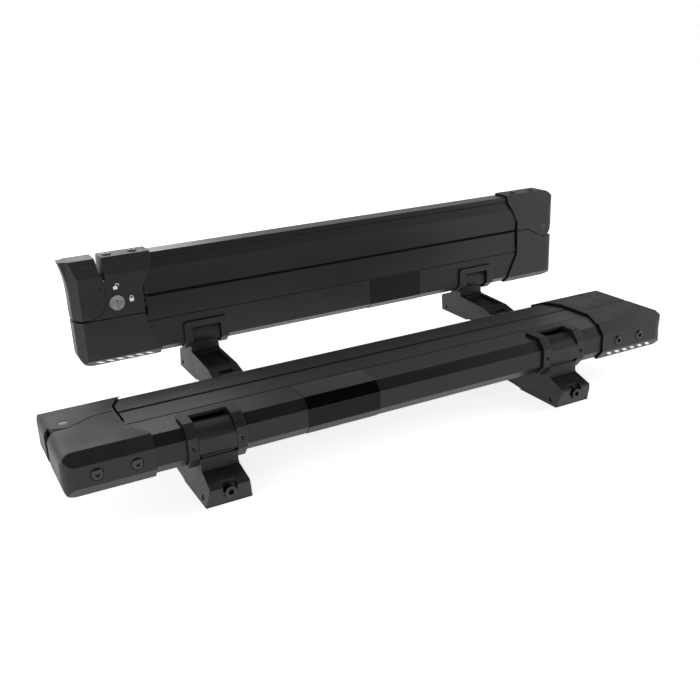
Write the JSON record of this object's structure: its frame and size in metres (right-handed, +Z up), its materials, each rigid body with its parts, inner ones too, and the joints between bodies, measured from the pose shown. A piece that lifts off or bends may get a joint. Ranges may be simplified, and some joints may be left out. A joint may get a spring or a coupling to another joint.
{
  "type": "roof ski rack",
  "caption": "Pair of flip-down ski and snowboard carriers for roof crossbars: long aluminium jaws with rubber pads, push-button latch, key lock and clamp feet.",
  "frame": {"origin": "midway between the two fold pivots, on the plane of the crossbars' tops", "axes": "+X along the jaws, +Y across the roof towards the standing carrier, +Z up"},
  "size_m": [0.739, 0.3626, 0.159],
  "materials": {
    "black_anodised": "satin black anodised aluminium",
    "moulded_black": "fine grain black moulding",
    "pad_rubber": "ribbed soft rubber",
    "steel": "zinc plated",
    "lock_chrome": "satin chrome",
    "black_screws": "black oxide",
    "band_gloss": "plain glossy film"
  },
  "bodies": {
    "feet": {"rear_left_post": "moulded_black", "rear_right_post": "moulded_black", "rear_left_foot": "moulded_black", "rear_right_foot": "moulded_black", "rear_clamp_bolts": "steel", "rear_bolt_washers": "steel", "rear_strap_anchors": "steel", "rear_base_pads": "pad_rubber", "front_left_post": "moulded_black", "front_right_post": "moulded_black", "front_left_foot": "moulded_black", "front_right_foot": "moulded_black", "front_clamp_bolts": "steel", "front_bolt_washers": "steel", "front_strap_anchors": "steel", "front_base_pads": "pad_rubber"},
    "rear_lower_jaw": {"rear_lower_bar": "black_anodised", "rear_lower_pad": "pad_rubber", "rear_lower_hinge_cap": "moulded_black", "rear_lower_latch_cap": "moulded_black", "rear_latch_catch": "steel", "rear_jaw_hinge_pin": "steel", "rear_lower_cap_screws": "black_screws", "rear_label_band": "band_gloss", "rear_left_yoke": "moulded_black", "rear_right_yoke": "moulded_black", "rear_pivot_pins": "steel", "rear_pin_screws": "black_screws"},
    "rear_upper_jaw": {"rear_upper_bar": "black_anodised", "rear_upper_pad": "pad_rubber", "rear_upper_hinge_cap": "moulded_black", "rear_upper_latch_cap": "moulded_black", "rear_button_pin": "steel", "rear_button_spring": "steel", "rear_upper_cap_screws": "black_screws"},
    "rear_push_button": {"rear_button": "moulded_black", "rear_latch_hook": "steel"},
    "rear_lock": {"rear_lock_barrel": "lock_chrome"},
    "front_lower_jaw": {"front_lower_bar": "black_anodised", "front_lower_pad": "pad_rubber", "front_lower_hinge_cap": "moulded_black", "front_lower_latch_cap": "moulded_black", "front_latch_catch": "steel", "front_jaw_hinge_pin": "steel", "front_lower_cap_screws": "black_screws", "front_label_band": "band_gloss", "front_left_yoke": "moulded_black", "front_right_yoke": "moulded_black", "front_pivot_pins": "steel", "front_pin_screws": "black_screws"},
    "front_upper_jaw": {"front_upper_bar": "black_anodised", "front_upper_pad": "pad_rubber", "front_upper_hinge_cap": "moulded_black", "front_upper_latch_cap": "moulded_black", "front_button_pin": "steel", "front_button_spring": "steel", "front_upper_cap_screws": "black_screws"},
    "front_push_button": {"front_button": "moulded_black", "front_latch_hook": "steel"},
    "front_lock": {"front_lock_barrel": "lock_chrome"}
  },
  "joints": [
    {"name": "rear_fold", "type": "hinge", "parent": "feet", "child": "rear_lower_jaw", "pos_m": [0, 0.14365, 0.0505], "axis": [1, 0, 0], "range_deg": [0, 90]},
    {"name": "rear_jaw_hinge", "type": "hinge", "parent": "rear_lower_jaw", "child": "rear_upper_jaw", "pos_m": [0.35205, 0.14365, 0.1085], "axis": [0, 1, 0], "range_deg": [0, 12]},
    {"name": "rear_button_press", "type": "hinge", "parent": "rear_upper_jaw", "child": "rear_push_button", "pos_m": [-0.26355, 0.14365, 0.1264], "axis": [0, 1, 0], "range_deg": [0, 7], "stiffness_Nm_per_rad": 2, "springref_deg": -5.73},
    {"name": "rear_lock_turn", "type": "hinge", "parent": "rear_upper_jaw", "child": "rear_lock", "pos_m": [-0.24615, 0.14365, 0.1072], "axis": [0, 1, 0], "range_deg": [0, 90]},
    {"name": "front_fold", "type": "hinge", "parent": "feet", "child": "front_lower_jaw", "pos_m": [0, -0.14365, 0.0505], "axis": [1, 0, 0], "range_deg": [0, 90]},
    {"name": "front_jaw_hinge", "type": "hinge", "parent": "front_lower_jaw", "child": "front_upper_jaw", "pos_m": [-0.35205, -0.08565, 0.0505], "axis": [0, 0, 1], "range_deg": [0, 12]},
    {"name": "front_button_press", "type": "hinge", "parent": "front_upper_jaw", "child": "front_push_button", "pos_m": [0.26355, -0.06775, 0.0505], "axis": [0, 0, 1], "range_deg": [0, 7], "stiffness_Nm_per_rad": 2, "springref_deg": -5.73},
    {"name": "front_lock_turn", "type": "hinge", "parent": "front_upper_jaw", "child": "front_lock", "pos_m": [0.24615, -0.08695, 0.0505], "axis": [0, 0, 1], "range_deg": [0, 90]}
  ]
}
